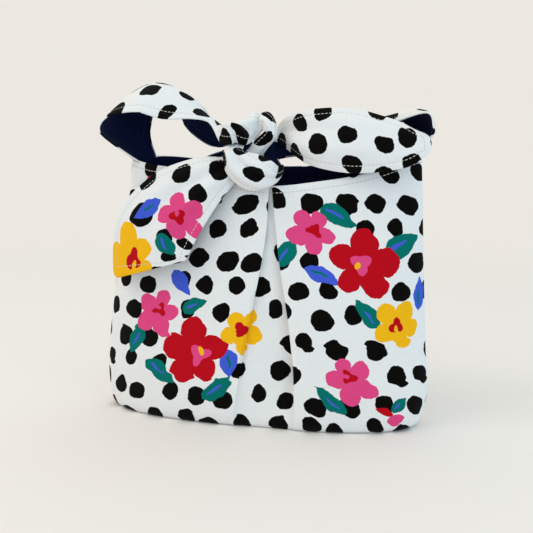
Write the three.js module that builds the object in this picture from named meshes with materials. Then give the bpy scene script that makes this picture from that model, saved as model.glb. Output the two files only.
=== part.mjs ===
// Knot bag: a boxed cotton tote with a navy lining, closed by two ties knotted over the mouth.
// Millimetres, +Z up, the front faces -Y. The origin is the middle of the base, on the floor.

import * as THREE from "three";

const CLOTH = 1.0; // thickness of one ply
const PLY_GAP = 0.95; // air between two plies that are sewn together
const LINING_INSET = 1.85; // from the middle of an outer panel to the middle of its lining
const SIDE_SHARE = 1.6; // inset at the side seams, as a share of the inset at the front and back
const SEAM_GAP = 0.3; // air between two panels that meet edge to edge
const SIDE_HEIGHT = 222; // from the floor to the rim at the side seams

const PRINT_COTTON = { color: 0xe9ebe9, roughness: 0.9, metalness: 0 };
const NAVY_COTTON = { color: 0x141c3c, roughness: 0.92, metalness: 0 };

// ---------------------------------------------------------------- small maths

const lerp = (a, b, t) => a + (b - a) * t;
const clamp = (x, lo, hi) => Math.min(hi, Math.max(lo, x));
const smooth = (t) => t * t * (3 - 2 * t);
const span = (count) => Array.from({ length: count + 1 }, (_, i) => i / count);

// Cubic from b to c with the slopes m1 and m2 at its ends, at t
function hermite(b, c, m1, m2, t) {
  const t2 = t * t;
  const t3 = t2 * t;
  return (2 * t3 - 3 * t2 + 1) * b + (t3 - 2 * t2 + t) * m1 + (3 * t2 - 2 * t3) * c + (t3 - t2) * m2;
}

// Catmull-Rom value at t between b and c
const catmull = (a, b, c, d, t) => hermite(b, c, (c - a) / 2, (d - b) / 2, t);

// Reads every column of a table at key = x, on a smooth curve through its rows
function readTable(table, key, x) {
  const last = table.length - 1;
  const inside = clamp(x, table[0][key], table[last][key]);
  const hi = Math.max(1, table.findIndex((row) => row[key] >= inside));
  const from = table[hi - 1];
  const to = table[hi];
  const before = table[Math.max(hi - 2, 0)];
  const after = table[Math.min(hi + 1, last)];
  const width = to[key] - from[key];
  const t = (inside - from[key]) / width;
  const rise = (p, q, column) => ((q[column] - p[column]) / (q[key] - p[key])) * width;
  const out = {};
  for (const column of Object.keys(from)) {
    out[column] = hermite(from[column], to[column], rise(before, to, column), rise(from, after, column), t);
  }
  return out;
}

// ---------------------------------------------------------------- sheet of cloth

// A closed sheet from a grid of points [row][column]. Its outward side is row x column.
// "inner" and "outer" are the distances of its two faces from the grid, along the normal.
function sheetGeometry(grid, inner, outer, trim = (point) => point) {
  const rows = grid.length;
  const columns = grid[0].length;
  const at = (i, j) => grid[clamp(i, 0, rows - 1)][clamp(j, 0, columns - 1)];
  const positions = [];
  for (const offset of [outer, inner]) {
    for (let i = 0; i < rows; i++) {
      for (let j = 0; j < columns; j++) {
        const alongRow = at(i + 1, j).clone().sub(at(i - 1, j));
        const alongColumn = at(i, j + 1).clone().sub(at(i, j - 1));
        const normal = alongRow.cross(alongColumn).normalize();
        positions.push(...trim(at(i, j).clone().addScaledVector(normal, offset)).toArray());
      }
    }
  }
  const layer = rows * columns;
  const index = [];
  const quad = (a, b, c, d) => index.push(a, b, c, a, c, d);
  for (let i = 0; i + 1 < rows; i++) {
    for (let j = 0; j + 1 < columns; j++) {
      const a = i * columns + j;
      quad(a, a + columns, a + columns + 1, a + 1);
      quad(layer + a, layer + a + 1, layer + a + columns + 1, layer + a + columns);
    }
  }
  const rim = [];
  for (let j = 0; j + 1 < columns; j++) rim.push(j);
  for (let i = 0; i + 1 < rows; i++) rim.push(i * columns + columns - 1);
  for (let j = columns - 1; j > 0; j--) rim.push((rows - 1) * columns + j);
  for (let i = rows - 1; i > 0; i--) rim.push(i * columns);
  rim.forEach((from, k) => {
    const to = rim[(k + 1) % rim.length];
    quad(from, to, layer + to, layer + from);
  });
  const geometry = new THREE.BufferGeometry();
  geometry.setAttribute("position", new THREE.Float32BufferAttribute(positions, 3));
  geometry.setIndex(index);
  geometry.computeVertexNormals();
  return geometry;
}

function sheetMesh(name, cloth, geometry) {
  const mesh = new THREE.Mesh(geometry, new THREE.MeshStandardMaterial(cloth));
  mesh.name = name;
  return mesh;
}

// ---------------------------------------------------------------- shape of the bag

// Plan of the bag at each height: half widths to the left and right, depths to front and back.
// A plan's depth at x is depth * (1 - |x / width| ^ full) ^ round.
const BODY = [
  { height: 0, left: 132, right: 128, front: 37, back: 37, full: 2.7, round: 0.5 },
  { height: 3, left: 138, right: 134, front: 41, back: 41, full: 2.7, round: 0.5 },
  { height: 12, left: 143, right: 139, front: 44, back: 44, full: 2.7, round: 0.52 },
  { height: 34, left: 145, right: 143, front: 44, back: 44, full: 2.6, round: 0.55 },
  { height: 64, left: 143, right: 140, front: 42, back: 42, full: 2.5, round: 0.58 },
  { height: 100, left: 138, right: 138, front: 40, back: 39, full: 2.4, round: 0.58 },
  { height: 140, left: 131, right: 136, front: 37, back: 35, full: 2.3, round: 0.58 },
  { height: 182, left: 122, right: 134, front: 32, back: 31, full: 2.2, round: 0.57 },
  { height: 222, left: 117, right: 132, front: 28, back: 27, full: 2.0, round: 0.56 },
];
const BODY_ROWS = [0, 3, 8, 18, 40, 70, 104, 142, 182, 222];

// Height of the rim of the front and back panels across the width, from side seam to side seam
const RIM = [
  { across: -1, front: 222, back: 222 },
  { across: -0.8, front: 217, back: 224 },
  { across: -0.5, front: 213, back: 221 },
  { across: -0.1, front: 203, back: 216 },
  { across: 0.1, front: 200, back: 215 },
  { across: 0.35, front: 203, back: 216 },
  { across: 0.7, front: 211, back: 220 },
  { across: 1, front: 225, back: 225 },
];

// The inverted box pleat of the front panel, from the rim down to where it has opened flat:
// the x of its two fold edges, how far the cloth is tucked under, and how sharply it turns.
const PLEAT = [
  { height: 0, left: -14, right: 37, tuck: 1.5, turn: 0 },
  { height: 12, left: -13, right: 36, tuck: 1.5, turn: 20 },
  { height: 34, left: -10, right: 35, tuck: 2.5, turn: 60 },
  { height: 64, left: -5, right: 33, tuck: 4, turn: 120 },
  { height: 100, left: 1, right: 30, tuck: 7, turn: 170 },
  { height: 140, left: 7, right: 24, tuck: 10, turn: 180 },
  { height: 182, left: 12, right: 19, tuck: 12, turn: 180 },
  { height: 222, left: 13, right: 15.2, tuck: 13, turn: 180 },
];
const PLEAT_PITCH = 1.5; // between the layers of the pleat
const PLEAT_BEND = (Math.PI * PLEAT_PITCH) / 2; // cloth taken by one turn
const PLEAT_STEPS = 3; // facets in one turn
const PLEAT_START = 1; // from where the cloth starts to turn to the edge of the fold
const PLEAT_CLEARANCE = 0.6; // from the back of the pleat to the front lining, past the usual inset
const PLEAT_EASE = 22; // how far past the folds the front lining is held back by the pleat
const PLAIN_COLUMNS = 16; // facets across a panel without a pleat
const PLEAT_COLUMNS = 8; // facets on each side of the pleat

const BASE_SHARES = [0, 0.4, 0.8]; // rows of the base, from its middle seam to the outline
const BASE_SEAM_SHARE = 0.86; // length of the middle seam to the width of the bag

// Depth of the plan at x, in from the outside by "inset"
function planDepth(plan, side, x, inset) {
  const width = (x < 0 ? plan.left : plan.right) - inset * SIDE_SHARE;
  const share = clamp(Math.abs(x) / width, 0, 1);
  return (plan[side] - inset) * (1 - share ** plan.full) ** plan.round;
}

const rimHeight = (across, side) => readTable(RIM, "across", across)[side];

// x of a column: "across" runs from -1 at the left seam to 1 at the right seam
function columnX(plan, across, inset) {
  return across * ((across < 0 ? plan.left : plan.right) - inset * SIDE_SHARE);
}

// The point of a panel at a height share of its rim, at x, moved "tuck" in from the outside
function bodyPoint(side, heightRow, x, inset, tuck = 0) {
  const plan = readTable(BODY, "height", heightRow);
  const width = (x < 0 ? plan.left : plan.right) - inset * SIDE_SHARE;
  const across = clamp(x / width, -1, 1);
  const share = heightRow / SIDE_HEIGHT;
  const z = lerp(CLOTH / 2 + inset, rimHeight(across, side), share);
  const depth = planDepth(plan, side, x, inset) + SEAM_GAP / 2 - tuck;
  return new THREE.Vector3(x, side === "front" ? -depth : depth, z);
}

// Rows of one panel from its middle seam under the base, out to the edge and up to the rim.
// columnsAt(height) gives the columns of a row as { x, tuck }.
function panelGrid(side, inset, columnsAt) {
  const outline = columnsAt(0).map(({ x, tuck }) => bodyPoint(side, 0, x, inset, tuck));
  const base = BASE_SHARES.map((share) =>
    outline.map((point) => {
      const narrowing = lerp(BASE_SEAM_SHARE, 1, share);
      const seam = side === "front" ? -SEAM_GAP / 2 : SEAM_GAP / 2;
      return new THREE.Vector3(point.x * narrowing, lerp(seam, point.y, share), point.z);
    }),
  );
  const wall = BODY_ROWS.map((height) =>
    columnsAt(height).map(({ x, tuck }) => bodyPoint(side, height, x, inset, tuck)),
  );
  return [...base, ...wall];
}

// Keeps a panel on its own side of the seams and off the floor
function trimPanel(side) {
  const seam = SEAM_GAP / 2;
  return (point) => {
    point.y = side === "front" ? Math.min(point.y, -seam) : Math.max(point.y, seam);
    point.z = Math.max(point.z, 0);
    return point;
  };
}

// The path of the cloth round one side of the pleat, as steps in { x, tuck } from its start
function pleatPath(tuck, turnDegrees) {
  const turn = THREE.MathUtils.degToRad(turnDegrees);
  const step = PLEAT_BEND / PLEAT_STEPS;
  const path = [{ x: 0, tuck: 0 }];
  const go = (heading, length) => {
    const from = path[path.length - 1];
    path.push({ x: from.x + Math.cos(heading) * length, tuck: from.tuck + Math.sin(heading) * length });
  };
  for (let k = 0; k < PLEAT_STEPS; k++) go((turn * (k + 0.5)) / PLEAT_STEPS, step);
  go(turn, tuck);
  for (let k = PLEAT_STEPS - 1; k >= 0; k--) go((turn * (k + 0.5)) / PLEAT_STEPS, step);
  return path;
}

// Columns from seam to seam, closer together at the seams
function plainColumns(inset, extraTuck) {
  const waves = span(PLAIN_COLUMNS).map((t) => Math.sin((t - 0.5) * Math.PI));
  return (height) => {
    const plan = readTable(BODY, "height", height);
    return waves.map((across) => {
      const x = columnX(plan, across, inset);
      return { x, tuck: extraTuck(x, height) };
    });
  };
}

// Columns of the front panel: plain, round the pleat, plain again
function pleatedColumns(height) {
  const plan = readTable(BODY, "height", height);
  const fold = readTable(PLEAT, "height", height);
  const path = pleatPath(fold.tuck, fold.turn);
  const startLeft = fold.left - PLEAT_START;
  const startRight = fold.right + PLEAT_START;
  const plain = span(PLEAT_COLUMNS).slice(0, -1);
  return [
    ...plain.map((t) => ({ x: seamWave(-plan.left, startLeft, t), tuck: 0 })),
    ...path.map((p) => ({ x: startLeft + p.x, tuck: p.tuck })),
    ...path.map((p) => ({ x: startRight - p.x, tuck: p.tuck })).reverse(),
    ...plain.map((t) => ({ x: seamWave(plan.right, startRight, t), tuck: 0 })).reverse(),
  ];
}

// x at share t of the way in from a seam, close together at the seam
function seamWave(seam, end, t) {
  const endAngle = Math.asin(clamp(end / seam, -1, 1));
  return seam * Math.sin(lerp(Math.PI / 2, endAngle, t));
}

// The front lining keeps clear of the pleat's layers and lies close elsewhere
function behindPleat(x, height) {
  const fold = readTable(PLEAT, "height", height);
  const layers = pleatPath(fold.tuck, fold.turn).pop().tuck + PLEAT_CLEARANCE;
  const middle = (fold.left + fold.right) / 2;
  const reach = (fold.right - fold.left) / 2 + PLEAT_EASE;
  return layers * smooth(clamp(2 - Math.abs(x - middle) / reach, 0, 1));
}

function bagMeshes() {
  const noTuck = () => 0;
  const reversed = (columnsAt) => (height) => columnsAt(height).reverse();
  const panel = (name, cloth, side, inset, columnsAt) => {
    const grid = panelGrid(side, inset, side === "front" ? reversed(columnsAt) : columnsAt);
    return sheetMesh(name, cloth, sheetGeometry(grid, -CLOTH / 2, CLOTH / 2, trimPanel(side)));
  };
  return [
    panel("panel_front", PRINT_COTTON, "front", 0, pleatedColumns),
    panel("panel_back", PRINT_COTTON, "back", 0, plainColumns(0, noTuck)),
    panel("lining_front", NAVY_COTTON, "front", LINING_INSET, plainColumns(LINING_INSET, behindPleat)),
    panel("lining_back", NAVY_COTTON, "back", LINING_INSET, plainColumns(LINING_INSET, noTuck)),
  ];
}

// ---------------------------------------------------------------- ties

// Each row is one section across a tie, from its foot at the rim to its free end.
// at: the middle of the cloth. width: from edge to edge in a straight line. turn and lean: the
// heading of that line in plan, anticlockwise from +X, and its rise, in degrees. crown: how far
// the middle stands off the line on the printed side. slide: how far the middle sits along the
// line, as a share of its half. lobes: how far the two halves swell, or sink where negative.
// steps: facets from there to the next row.
const LEFT_TIE = [
  { part: "rim", steps: 3, at: [-120, 0, 225], width: 30, turn: 75, lean: 5, crown: 15 },
  { part: "rise", steps: 3, at: [-130, 0, 245], width: 55, turn: 65, lean: 5, crown: 10 },
  { part: "crest", steps: 5, at: [-120, 5, 275], width: 70, turn: 65, lean: 25, crown: 5 },
  { part: "loop", steps: 2, at: [-95, 0, 285], width: 70, turn: 80, lean: 10, crown: 18 },
  { part: "loop", steps: 2, at: [-65, 0, 275], width: 55, turn: 90, lean: -4, crown: 25 },
  { part: "neck", steps: 2, at: [-45, 0, 256], width: 45, turn: 96, lean: -24, crown: 15 },
  { part: "neck", steps: 2, at: [-34, -5, 248], width: 38, turn: 96, lean: -30, crown: 8, slide: -0.2 },
  { part: "cuff", steps: 2, at: [-26, -24, 246], width: 30, turn: 90, lean: -2, crown: 10, slide: -0.4, lobes: [3, 0] },
  { part: "cuff", steps: 2, at: [-19, -33, 249], width: 35, turn: 86, lean: 18, crown: 13, slide: -0.5, lobes: [4, 0] },
  { part: "cuff", steps: 2, at: [-10, -34, 249], width: 34, turn: 86, lean: 24, crown: 11, slide: -0.6, lobes: [4, 2] },
  { part: "wedge", steps: 1, at: [-3, -26, 247], width: 28, turn: 84, lean: 62, crown: 3, lobes: [0, 2] },
  { part: "crease", steps: 1, at: [2, -18, 250], width: 20, turn: 80, lean: 62, crown: 2 },
  { part: "arch", steps: 2, at: [6, -21, 256], width: 13, turn: 70, lean: 60, crown: 5, lobes: [1, 1] },
  { part: "arch", steps: 2, at: [13, -25, 251], width: 12, turn: 40, lean: 35, crown: 5, lobes: [1, 1] },
  { part: "arch", steps: 2, at: [14, -26, 242], width: 10, turn: 20, lean: -10, crown: 4, lobes: [1, 1] },
  { part: "arch", steps: 1, at: [6, -27, 233], width: 11, turn: 20, lean: -35, crown: 4, lobes: [1, 1] },
  { part: "under", steps: 1, at: [-1, -28, 225], width: 11, turn: 10, lean: -45, crown: 4 },
  { part: "under", steps: 2, at: [-10, -30, 220], width: 15, turn: 0, lean: -55, crown: 5 },
  { part: "tail", steps: 2, at: [-20, -36, 214], width: 24, turn: -15, lean: -60, crown: 5 },
  { part: "tail", steps: 2, at: [-37, -43, 205], width: 42, turn: -15, lean: -60, crown: 5 },
  { part: "tail", steps: 2, at: [-65, -44, 185], width: 65, turn: -15, lean: -45, crown: 5 },
  { part: "tail", steps: 2, at: [-85, -44, 160], width: 75, turn: -12, lean: -20, crown: 5 },
  { part: "end", steps: 0, at: [-90, -43, 130], width: 75, turn: -12, lean: 15, crown: 5 },
];

const RIGHT_TIE = [
  { part: "rim", steps: 2, at: [130, 0, 225], width: 30, turn: -75, lean: -5, crown: 15 },
  { part: "rise", steps: 2, at: [135, 0, 238], width: 42, turn: -65, lean: 0, crown: 5 },
  { part: "crest", steps: 3, at: [137, 0, 250], width: 54, turn: -65, lean: 0, crown: 8 },
  { part: "crest", steps: 3, at: [125, 5, 260], width: 55, turn: -65, lean: 5, crown: 5 },
  { part: "strap", steps: 2, at: [100, 10, 255], width: 42, turn: -65, lean: 15, crown: 10 },
  { part: "strap", steps: 2, at: [60, 10, 247], width: 30, turn: -65, lean: 15, crown: 18 },
  { part: "strap", steps: 2, at: [25, 15, 240], width: 20, turn: -70, lean: 35, crown: 12 },
  { part: "behind", steps: 2, at: [-5, 21, 229], width: 18, turn: -90, lean: 85, crown: 3 },
  { part: "behind", steps: 2, at: [-50, 11, 221], width: 8, turn: -80, lean: 88, crown: 1 },
  { part: "behind", steps: 2, at: [-36, -8, 219], width: 11, turn: -20, lean: 75, crown: 1 },
  { part: "wrap", steps: 2, at: [-16, -23, 234], width: 10, turn: 0, lean: 8, crown: 2 },
  { part: "wrap", steps: 2, at: [-15, -38, 230], width: 15, turn: 0, lean: 10, crown: 3, lobes: [2, 0] },
  { part: "wrap", steps: 2, at: [-11, -44, 226], width: 22, turn: 0, lean: 18, crown: 6, lobes: [3, 1] },
  { part: "wrap", steps: 2, at: [-6, -45, 219], width: 29, turn: 2, lean: 28, crown: 6, lobes: [3, 2] },
  { part: "wrap", steps: 2, at: [3, -45, 212], width: 31, turn: 4, lean: 38, crown: 6, lobes: [3, 3] },
  { part: "wrap", steps: 2, at: [12, -42, 207], width: 28, turn: 8, lean: 48, crown: 5, lobes: [2, 3] },
  { part: "wrap", steps: 2, at: [19, -35, 206], width: 20, turn: 10, lean: 57, crown: 4, lobes: [1, 1] },
  { part: "back", steps: 2, at: [22, -24, 210], width: 14, turn: 0, lean: 62, crown: 2 },
  { part: "back", steps: 2, at: [14, -10, 214], width: 12, turn: 0, lean: 20, crown: 1 },
  { part: "twist", steps: 2, at: [8, -2, 223], width: 11, turn: 0, lean: 0, crown: 1 },
  { part: "twist", steps: 2, at: [7, 1, 232], width: 10, turn: 45, lean: 8, crown: 0 },
  { part: "twist", steps: 2, at: [9, 3, 240], width: 11, turn: 75, lean: 30, crown: 1 },
  { part: "twist", steps: 2, at: [15, 0, 244], width: 17, turn: 95, lean: 70, crown: 1 },
  { part: "tail", steps: 2, at: [25, -11, 243], width: 28, turn: 100, lean: 80, crown: 2 },
  { part: "tail", steps: 2, at: [45, -26, 240], width: 44, turn: 105, lean: 80, crown: 5, lobes: [2, -2] },
  { part: "tail", steps: 1, at: [80, -32, 238], width: 50, turn: 108, lean: 78, crown: 8 },
  { part: "tail", steps: 1, at: [115, -30, 235], width: 38, turn: 125, lean: 73, crown: 5 },
  { part: "tail", steps: 1, at: [130, -28, 234], width: 24, turn: 125, lean: 71, crown: 3 },
  { part: "end", steps: 0, at: [140, -25, 235], width: 10, turn: 120, lean: 70, crown: 0 },
];

const TIE_COLUMNS = 6;
const FOOT_LIFT = 1.4; // from the rim up to the foot of a tie
const FOOT_LAP = { front: 0.42, back: 0.52 }; // how far a foot reaches round the seam, radians

// The line from edge to edge of a section, of length 1
function acrossSection(row) {
  const turn = THREE.MathUtils.degToRad(row.turn);
  const lean = THREE.MathUtils.degToRad(row.lean);
  return new THREE.Vector3(Math.cos(lean) * Math.cos(turn), Math.cos(lean) * Math.sin(turn), Math.sin(lean));
}

// The two edges a and b of every section, its middle m, and the swell of its halves.
// The printed side is to the right of a to b, seen along the way that the tie goes.
function tieSections(table) {
  const middles = table.map((row) => new THREE.Vector3(...row.at));
  return table.map((row, k) => {
    const { width, crown, slide = 0, lobes = [0, 0] } = row;
    const way = middles[Math.min(k + 1, table.length - 1)].clone().sub(middles[Math.max(k - 1, 0)]);
    const across = acrossSection(row);
    const out = way.cross(across).normalize();
    const centre = middles[k].clone().addScaledVector(across, (-slide * width) / 2).addScaledVector(out, -crown);
    return {
      steps: row.steps,
      a: centre.clone().addScaledVector(across, -width / 2),
      m: middles[k],
      b: centre.clone().addScaledVector(across, width / 2),
      swell: lobes.map((lobe) => out.clone().multiplyScalar(lobe)),
    };
  });
}

// Point of a section at v, from -1 at edge a to 1 at edge b
function sectionPoint(section, v) {
  const { a, m, b, swell } = section;
  return new THREE.Vector3()
    .addScaledVector(a, (v * v - v) / 2)
    .addScaledVector(m, 1 - v * v)
    .addScaledVector(b, (v * v + v) / 2)
    .addScaledVector(swell[v < 0 ? 0 : 1], Math.sin(Math.PI * v) ** 2);
}

// The foot of a tie follows the rim round the side seam, half a pitch in from the panel's middle
function footPoint(sign, v) {
  const inset = LINING_INSET / 2;
  const side = v * sign > 0 ? "front" : "back";
  const across = sign * Math.cos(v * FOOT_LAP[side]);
  const plan = readTable(BODY, "height", SIDE_HEIGHT);
  const x = columnX(plan, across, inset);
  const point = bodyPoint(side, SIDE_HEIGHT, x, inset);
  point.y = v === 0 ? 0 : point.y;
  point.z = rimHeight(across, side) + FOOT_LIFT;
  return point;
}

// One section's points, a share t of the way from a section to the next
function tieRow(sections, sign, from, t) {
  const near = [-1, 0, 1, 2].map((k) => sections[clamp(from + k, 0, sections.length - 1)]);
  const hold = from === 0 ? 1 - smooth(t) : 0;
  return span(TIE_COLUMNS).map((share) => {
    const v = 2 * share - 1;
    const around = near.map((section) => sectionPoint(section, v).toArray());
    const point = new THREE.Vector3(...[0, 1, 2].map((k) => catmull(...around.map((p) => p[k]), t)));
    return point.addScaledVector(footPoint(sign, v).sub(sectionPoint(sections[0], v)), hold);
  });
}

function tieGrid(table, sign) {
  const sections = tieSections(table);
  const rows = [];
  sections.forEach((section, from) => {
    for (let k = 0; k < section.steps; k++) rows.push(tieRow(sections, sign, from, k / section.steps));
  });
  rows.push(tieRow(sections, sign, sections.length - 2, 1));
  return rows;
}

function tieMeshes(name, table, sign) {
  const grid = tieGrid(table, sign);
  const near = PLY_GAP / 2;
  const far = near + CLOTH;
  return [
    sheetMesh(name + "_print", PRINT_COTTON, sheetGeometry(grid, near, far)),
    sheetMesh(name + "_lining", NAVY_COTTON, sheetGeometry(grid, -far, -near)),
  ];
}

// ---------------------------------------------------------------- the bag

const group = new THREE.Group();
group.add(...bagMeshes());
group.add(...tieMeshes("tie_left", LEFT_TIE, -1));
group.add(...tieMeshes("tie_right", RIGHT_TIE, 1));

export default group;
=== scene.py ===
# Knot bag: the looks of a boxed cotton tote with a navy lining and two ties knotted over its mouth.
# Metres in Blender, +Z up, the pleated front faces -Y. Tables of the cloth's shape are in millimetres.

import math

import bpy
import numpy as np
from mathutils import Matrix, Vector


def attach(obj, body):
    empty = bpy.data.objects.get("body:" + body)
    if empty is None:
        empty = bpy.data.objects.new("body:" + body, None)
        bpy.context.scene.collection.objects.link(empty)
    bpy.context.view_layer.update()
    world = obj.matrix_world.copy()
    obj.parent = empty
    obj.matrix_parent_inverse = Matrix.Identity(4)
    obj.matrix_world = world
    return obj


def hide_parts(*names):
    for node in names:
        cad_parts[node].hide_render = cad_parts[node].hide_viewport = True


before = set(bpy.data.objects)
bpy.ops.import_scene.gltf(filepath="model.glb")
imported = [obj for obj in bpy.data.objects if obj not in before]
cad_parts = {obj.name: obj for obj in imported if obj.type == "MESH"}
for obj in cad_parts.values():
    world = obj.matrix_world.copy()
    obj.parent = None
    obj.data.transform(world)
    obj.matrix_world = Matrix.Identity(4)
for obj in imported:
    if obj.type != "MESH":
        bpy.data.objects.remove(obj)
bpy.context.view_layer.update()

# ---- camera
# A longish lens at a little above the rim, turned slightly to the right of the pleat.


def new_object(name, data):
    made = bpy.data.objects.new(name, data)
    bpy.context.scene.collection.objects.link(made)
    return made


camera_turn, camera_rise = math.radians(14), math.radians(9)
camera_distance = 0.650
camera_target = Vector((0.007, 0, 0.125))
camera_back = Vector((
    math.sin(camera_turn) * math.cos(camera_rise),
    -math.cos(camera_turn) * math.cos(camera_rise),
    math.sin(camera_rise),
))
camera_data = bpy.data.cameras.new("camera")
camera_data.sensor_width = 36
camera_data.lens = 51.0
camera_data.shift_x = -0.0066
camera_data.shift_y = 0.0122
camera = new_object("camera", camera_data)
camera.location = camera_target + camera_back * camera_distance
camera.rotation_euler = (-camera_back).to_track_quat("-Z", "Y").to_euler()
bpy.context.scene.camera = camera

# ---- studio
# A pale table that fades into an even pale surround, under soft light: warm from above, cooler
# from below and the right, with a large window high on the left and a small one low on the right.

SURROUND = (0.836, 0.807, 0.753)
TABLE_TOP = (0.85, 0.83, 0.81)
SKY_HIGH = (1.07, 0.99, 0.87)
SKY_LOW = (0.68, 0.76, 0.87)
SKY_LEFT = (1.08, 1.02, 0.965)
SKY_RIGHT = (0.82, 1.0, 1.15)
SKY_POWER = 0.92
TABLE_RADIUS = 1.6
TABLE_FADE = (0.45, 1.5)  # where the table starts and ends to turn into the surround


def new_material(name):
    """An empty node material, its tree and its surface output."""
    material = bpy.data.materials.new(name)
    material.use_nodes = True
    tree = material.node_tree
    tree.nodes.clear()
    return material, tree, tree.nodes.new("ShaderNodeOutputMaterial")


def wire(tree, kind, *inputs, out=0, **settings):
    """Adds a node, sets its settings, fills its inputs in order and returns one output socket."""
    made = tree.nodes.new(kind)
    for name, value in settings.items():
        setattr(made, name, value)
    for socket, value in zip(made.inputs, inputs):
        if isinstance(value, bpy.types.NodeSocket):
            tree.links.new(value, socket)
        elif value is not None:
            socket.default_value = value
    return made.outputs[out]


def vector(tree, operation, *inputs, out=0):
    return wire(tree, "ShaderNodeVectorMath", *inputs, operation=operation, out=out)


def coordinate(tree, place, axis):
    return wire(tree, "ShaderNodeSeparateXYZ", place, out=axis)


def ramp(tree, value, start, end):
    """Smoothly from 0 at start to 1 at end."""
    return wire(tree, "ShaderNodeMapRange", value, start, end, 0.0, 1.0, interpolation_type="SMOOTHSTEP")


def blend(tree, under, over, share):
    """A colour that goes from under to over as share goes from 0 to 1."""
    return wire(tree, "ShaderNodeMix", share, *[None] * 5, under, over, out=2, data_type="RGBA")


world = bpy.data.worlds.new("surround")
world.use_nodes = True
tree = world.node_tree
tree.nodes.clear()
way = wire(tree, "ShaderNodeTexCoord", out=0)
upward = ramp(tree, coordinate(tree, way, 2), -0.2, 0.9)
rightward = ramp(tree, coordinate(tree, way, 0), -0.8, 0.8)
sky = blend(tree, (*SKY_LOW, 1), (*SKY_HIGH, 1), upward)
tint = blend(tree, (*SKY_LEFT, 1), (*SKY_RIGHT, 1), rightward)
soft_light = wire(tree, "ShaderNodeBackground", vector(tree, "MULTIPLY", sky, tint), SKY_POWER)
seen = wire(tree, "ShaderNodeBackground", (*SURROUND, 1), 1.0)
straight = wire(tree, "ShaderNodeLightPath", out=0)
output = tree.nodes.new("ShaderNodeOutputWorld")
tree.links.new(wire(tree, "ShaderNodeMixShader", straight, soft_light, seen), output.inputs["Surface"])
bpy.context.scene.world = world
bpy.context.scene.view_settings.view_transform = "Standard"

table_material, tree, output = new_material("table_top")
place = wire(tree, "ShaderNodeTexCoord", out=3)
fade = ramp(tree, vector(tree, "LENGTH", place, out=1), *TABLE_FADE)
top = wire(tree, "ShaderNodeBsdfDiffuse", (*TABLE_TOP, 1))
clear = wire(tree, "ShaderNodeBsdfTransparent")
tree.links.new(wire(tree, "ShaderNodeMixShader", fade, top, clear), output.inputs["Surface"])
bpy.ops.mesh.primitive_circle_add(vertices=96, radius=TABLE_RADIUS, fill_type="NGON", location=(0, 0, 0))
table_top = bpy.context.object
table_top.name = "table_top"
table_top.data.materials.append(table_material)


def window(name, place, size, power, colour):
    """A square soft light that faces the bag."""
    light = bpy.data.lights.new(name, "AREA")
    light.size = size
    light.energy = power
    light.color = colour
    lamp = new_object(name, light)
    lamp.location = place
    lamp.rotation_euler = (camera_target - Vector(place)).to_track_quat("-Z", "Y").to_euler()


window("window_left", (-0.9, -0.7, 1.5), 0.9, 5.6, (1.0, 0.97, 0.92))
window("window_right", (1.0, -0.7, 0.3), 0.3, 1.5, (0.74, 0.92, 1.0))

# ---- outer panels
# Two pieces of printed cotton, sewn to each other at the sides and under the base, and turned
# over the rim. The front has an inverted box pleat that opens out towards the base.

MM = 0.001
CLOTH = 0.5  # thickness of the cotton
LINING_INSET = 1.85  # from an outer panel to its lining
SIDE_SHARE = 1.6  # inset at the side seams, as a share of that at the front and back
SEAM_GAP = 0.3
SIDE_HEIGHT = 222


def table(columns, *rows):
    """Columns by name, from a header and its rows."""
    return {name: np.array(values, float) for name, values in zip(columns.split(), zip(*rows))}


def curved(t, start, end, leave, arrive):
    """From start to end as t goes from 0 to 1, with its slope at either."""
    return (
        (2 * t**3 - 3 * t**2 + 1) * start + (t**3 - 2 * t**2 + t) * leave
        + (3 * t**2 - 2 * t**3) * end + (t**3 - t**2) * arrive
    )


def read(rows, key, x):
    """Every column at key = x, on a smooth curve through the rows."""
    keys = rows[key]
    x = np.clip(np.asarray(x, float), keys[0], keys[-1])
    hi = np.clip(np.searchsorted(keys, x), 1, len(keys) - 1)
    lo = hi - 1
    before, after = np.maximum(lo - 1, 0), np.minimum(hi + 1, len(keys) - 1)
    rise = keys[hi] - keys[lo]
    out = {}
    for name, column in rows.items():
        leave = (column[hi] - column[before]) / (keys[hi] - keys[before]) * rise
        arrive = (column[after] - column[lo]) / (keys[after] - keys[lo]) * rise
        out[name] = curved((x - keys[lo]) / rise, column[lo], column[hi], leave, arrive)
    return out


def at_height(rows, height):
    """A row of plain numbers at one height."""
    return {name: float(value) for name, value in read(rows, "height", height).items()}


def smooth(t):
    t = np.clip(t, 0, 1)
    return t * t * (3 - 2 * t)


def hump(distance, width):
    """1 in the middle of a rounded hump, down to 0 away from it."""
    return np.exp(-((distance / width) ** 2))


def unit(vectors):
    return vectors / np.maximum(np.linalg.norm(vectors, axis=-1, keepdims=True), 1e-9)


def normals_of(grid):
    """Unit normals of a grid of points, on the side of row x column."""
    return unit(np.cross(np.gradient(grid, axis=0), np.gradient(grid, axis=1)))


def along(grid, axis):
    """Length of cloth from the start of the grid along one axis, in the grid's unit."""
    steps = np.linalg.norm(np.diff(grid, axis=axis), axis=-1)
    zero = np.zeros_like(np.take(steps, [0], axis=axis))
    return np.concatenate([zero, np.cumsum(steps, axis=axis)], axis=axis)


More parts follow.
